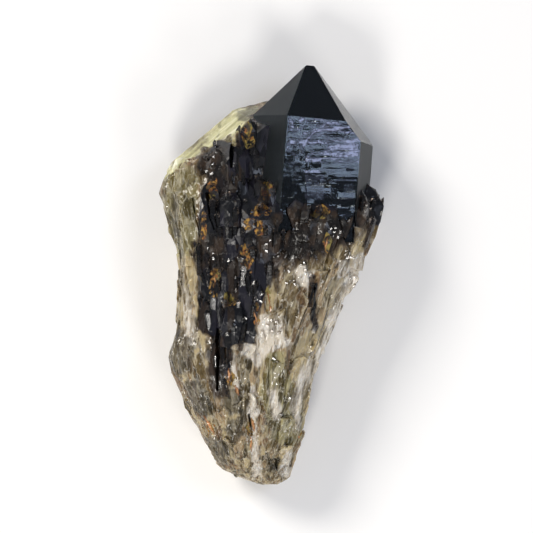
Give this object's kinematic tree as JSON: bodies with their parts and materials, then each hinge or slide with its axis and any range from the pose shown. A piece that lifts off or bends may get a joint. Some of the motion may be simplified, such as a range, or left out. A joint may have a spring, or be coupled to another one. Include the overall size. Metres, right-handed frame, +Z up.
{
  "type": "smoky quartz crystal",
  "caption": "Smoky quartz crystal group lying down: a large dark pointed prism rising from a tapering mass of small intergrown columns, paler towards its broken root.",
  "frame": {"origin": "middle of the group's bounding box in X and Y, on the surface it rests on (Z = 0)", "axes": "+Y from the broken root to the tip of the large crystal, +X to the right seen from above with the tip away, +Z up, out of the pictured front"},
  "size_m": [0.0644, 0.12, 0.0377],
  "materials": {
    "smoky_quartz": "natural crystal faces, vitreous, smoky grey to olive with milky and iron-stained parts"
  },
  "bodies": {
    "root": {"smoky_quartz": "smoky_quartz"}
  },
  "joints": []
}
